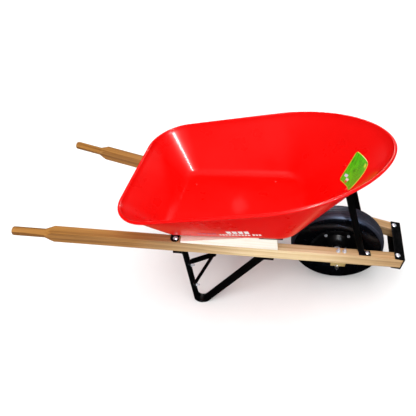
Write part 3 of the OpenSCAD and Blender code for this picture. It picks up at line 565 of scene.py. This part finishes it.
def tray_section(f, r):
    """The sheet's section from floor point f to rim point r: inside face, rolled bead, outside face."""
    d = math.hypot(r[0] - f[0], r[1] - f[1])
    e = ((r[0] - f[0]) / d, (r[1] - f[1]) / d)
    top = rim_top(r[0])
    run = math.hypot(d, top - FLOOR_IN)
    w = (d / run, (top - FLOOR_IN) / run)
    wall_a = math.atan2(w[1], w[0])
    # Points along the fillet, the wall and the bead
    fn, wn, bn = 10, 10, 16
    fil = []
    for i in range(fn + 1):
        u = i / fn
        fil.append((-FILLET * (1 - u) ** 2 + FILLET * w[0] * u * u, FLOOR_IN + FILLET * w[1] * u * u))
    wall = []
    for i in range(1, wn + 1):
        u = FILLET + (run - FILLET) * i / wn
        wall.append((w[0] * u, FLOOR_IN + w[1] * u))
    lip = [(-FILLET - 3 * MM, FLOOR_IN)]
    inner = lip + fil + wall
    turn = [wall_a * i / fn for i in range(fn + 1)]
    outer = [(x + SHEET * math.sin(a), z - SHEET * math.cos(a)) for a, (x, z) in zip(turn, fil)]
    outer += [(x + SHEET * w[1], z - SHEET * w[0]) for x, z in wall[:-1]]
    x, z = wall[-1]
    outer.append((x + SHEET * w[1] - BEAD * 1.1 * w[0], z - SHEET * w[0] - BEAD * 1.1 * w[1]))
    outer = [(-FILLET - 3 * MM, FLOOR_Z)] + outer
    bead = []
    for i in range(1, bn + 1):
        a = math.radians(180 - 300 * i / (bn + 0.5))
        bead.append((d + BEAD + BEAD * math.cos(a), top + BEAD * math.sin(a)))
    return [(f[0] + e[0] * q[0], f[1] + e[1] * q[0], q[1]) for q in inner + bead + outer[::-1]]


def build_tray():
    floor = closed(half_outline(FLOOR_X, FLOOR_CX, FLOOR_FX, FLOOR_Y, FLOOR_RC, FLOOR_EX))
    rim = closed(half_outline(RIM_X, RIM_CX, RIM_FX, RIM_Y, RIM_RC, RIM_EX))
    rows = [tray_section(f, r) for f, r in zip(floor, rim)]
    n, k = len(rows), len(rows[0])
    verts = [p for row in rows for p in row]
    faces = []
    for i in range(n):
        a, b = i * k, ((i + 1) % n) * k
        for j in range(k - 1):
            faces.append((a + j, b + j, b + j + 1, a + j + 1))
    faces.append([i * k for i in range(n)][::-1])
    faces.append([i * k + k - 1 for i in range(n)])
    o = mesh_object("tray_shell", verts, faces, "red_paint", "frame")
    bm = bmesh.new()
    bm.from_mesh(o.data)
    bmesh.ops.recalc_face_normals(bm, faces=bm.faces)
    bm.to_mesh(o.data)
    bm.free()
    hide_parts("tray")


build_tray()


# ---------------------------------------------------------------- nose label
def nose_pt(a, t):
    """Point on the inside of the nose, at angle a round it and share t of the way up."""
    fy = FLOOR_Y * power(math.cos(a), FLOOR_EX)
    ry = RIM_Y * power(math.cos(a), RIM_EX)
    fx = FLOOR_CX + (FLOOR_FX - FLOOR_CX) * power(math.sin(a), FLOOR_EX)
    rx = RIM_CX + (RIM_FX - RIM_CX) * power(math.sin(a), RIM_EX)
    return Vector((fx + (rx - fx) * t, fy + (ry - fy) * t, FLOOR_IN + (rim_top(rx) - FLOOR_IN) * t))


def nose_at(y, t):
    lo, hi = 0.0, math.pi / 2
    for _ in range(40):
        m = (lo + hi) / 2
        if nose_pt(m, t).y > abs(y):
            lo = m
        else:
            hi = m
    p = nose_pt(lo, t)
    return Vector((p.x, y, p.z))


def nose_off(y, t, off):
    """Point at y across the nose and t up it, lifted off the sheet by off."""
    n = (nose_at(y, t + 0.02) - nose_at(y, t - 0.02)).cross(nose_at(y + 0.002, t) - nose_at(y - 0.002, t))
    return nose_at(y, t) + n.normalized() * off


def build_label():
    top, left, right, low = (98 * MM, 0.70), (16 * MM, 0.43), (-1 * MM, 0.745), (-101 * MM, 0.58)
    nu, nv = 24, 36
    verts, uvs, faces = [], [], []
    # Rounded corners: the grid's edge is pulled in near each corner
    def pull(far):
        k = 0.11
        return k * (1 - math.sqrt(max(0.0, 1 - max(0.0, (k - far) / k) ** 2))) if far < k else 0.0
    for i in range(nu + 1):
        for j in range(nv + 1):
            u, v = i / nu, j / nv
            inset = pull(min(v, 1 - v)) * 0.9
            uu = inset + (1 - 2 * inset) * u
            ay = left[0] + (top[0] - left[0]) * v
            at = left[1] + (top[1] - left[1]) * v
            by = low[0] + (right[0] - low[0]) * v
            bt = low[1] + (right[1] - low[1]) * v
            y = ay + (by - ay) * uu
            t = at + (bt - at) * uu + 0.027 * (2 * uu - 1) * 4 * v * (1 - v)
            verts.append(nose_off(y, t, 1.0 * MM))
            uvs.append((uu, v))
    for i in range(nu):
        for j in range(nv):
            a = i * (nv + 1) + j
            faces.append((a, a + nv + 1, a + nv + 2, a + 1))
    o = mesh_object("nose_sticker", verts, faces, "green_label", "frame", uvs=uvs)
    thick = o.modifiers.new("thick", "SOLIDIFY")
    thick.thickness = 0.35 * MM
    thick.offset = 0.0
    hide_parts("nose_label")


build_label()


# ---------------------------------------------------------------- floor, light and camera
HALF = 9
floor = mesh_object("stage_floor", [(-HALF, -HALF, 0), (HALF, -HALF, 0), (HALF, HALF, 0), (-HALF, HALF, 0)],
                    [(0, 1, 2, 3)], "red_paint", "frame")
floor.parent = None
del floor["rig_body"]
fm = Mat("stage_floor")
fm.color(fm.ramp(fm.noise(fm.coords(), 3, 3), (0.3, (0.86, 0.86, 0.86)), (0.7, (0.90, 0.90, 0.90))))
fm.rough(0.9)
fm.set(Specular_IOR_Level=0.1)
floor.data.materials.clear()
floor.data.materials.append(fm.m)
floor.visible_glossy = False


def area(name, at, to, size, power_w, size_y=None, color=(1, 1, 1)):
    d = bpy.data.lights.new(name, "AREA")
    d.shape = "RECTANGLE" if size_y else "DISK"
    d.size = size
    if size_y:
        d.size_y = size_y
    d.energy = power_w
    d.color = color
    o = bpy.data.objects.new(name, d)
    bpy.context.scene.collection.objects.link(o)
    o.location = at
    o.rotation_euler = (Vector(to) - Vector(at)).to_track_quat("-Z", "Y").to_euler()
    return o


def soft(*a, **k):
    """Wide light that shapes the faces without a mirror image of itself in the gloss."""
    area(*a, **k).visible_glossy = False


def glint(*a, **k):
    """Small bright light that only shows as a highlight in glossy paint, rubber and steel."""
    area(*a, **k).visible_diffuse = False


sky = bpy.data.lights.new("sky", "SUN")
sky.energy = 3.1
sky.angle = math.radians(75)
sky_o = bpy.data.objects.new("sky", sky)
bpy.context.scene.collection.objects.link(sky_o)
sky_o.rotation_euler = Vector((-0.05, 0.32, -1.0)).to_track_quat("-Z", "Y").to_euler()
sky_o.visible_glossy = False
soft("front", (-0.4, -2.9, 2.2), (0.1, 0, 0.3), 1.8, 10)
glint("window_rear", (0.85, -1.5, 2.1), (-0.2, 0.2, 0.5), 0.30, 85, size_y=0.9)
glint("lamp", (-0.28, 1.248, 1.604), (0.1, 0, 0.4), 0.12, 0.06)
glint("flash", (1.6, -1.6, 1.5), (0.4, 0, 0.35), 0.30, 20, color=(0.72, 0.84, 1.0))
glint("rail", (0.25, 1.5, 1.25), (0.25, -0.3, 0.6), 0.9, 19, size_y=0.16)

world = bpy.data.worlds.new("world")
bpy.context.scene.world = world
world.use_nodes = True
world.cycles_visibility.glossy = False
bg = world.node_tree.nodes["Background"]
bg.inputs[0].default_value = (1, 1, 1, 1)
bg.inputs[1].default_value = 0.48

# Camera where the photograph's was, in the part's own frame: radians, metres and a lens in millimetres
yaw, pitch, roll = 0.17038, 0.75439, 0.08301
camera_at = (0.416214, -1.267957, 1.604208)
f = Vector((-math.sin(yaw) * math.cos(pitch), math.cos(yaw) * math.cos(pitch), -math.sin(pitch)))
r = Vector((math.cos(yaw), math.sin(yaw), 0))
d = f.cross(r)
r2 = math.cos(roll) * r + math.sin(roll) * d
d2 = -math.sin(roll) * r + math.cos(roll) * d
cd = bpy.data.cameras.new("camera")
cd.sensor_width = 36
cd.lens = 36.994
cd.shift_x = -0.1517
cd.clip_end = 100
cam = bpy.data.objects.new("camera", cd)
bpy.context.scene.collection.objects.link(cam)
rot = Matrix((r2, -d2, -f)).transposed()
cam.matrix_world = Matrix.Translation(camera_at) @ rot.to_4x4()
bpy.context.scene.camera = cam
bpy.context.scene.view_settings.view_transform = "Standard"
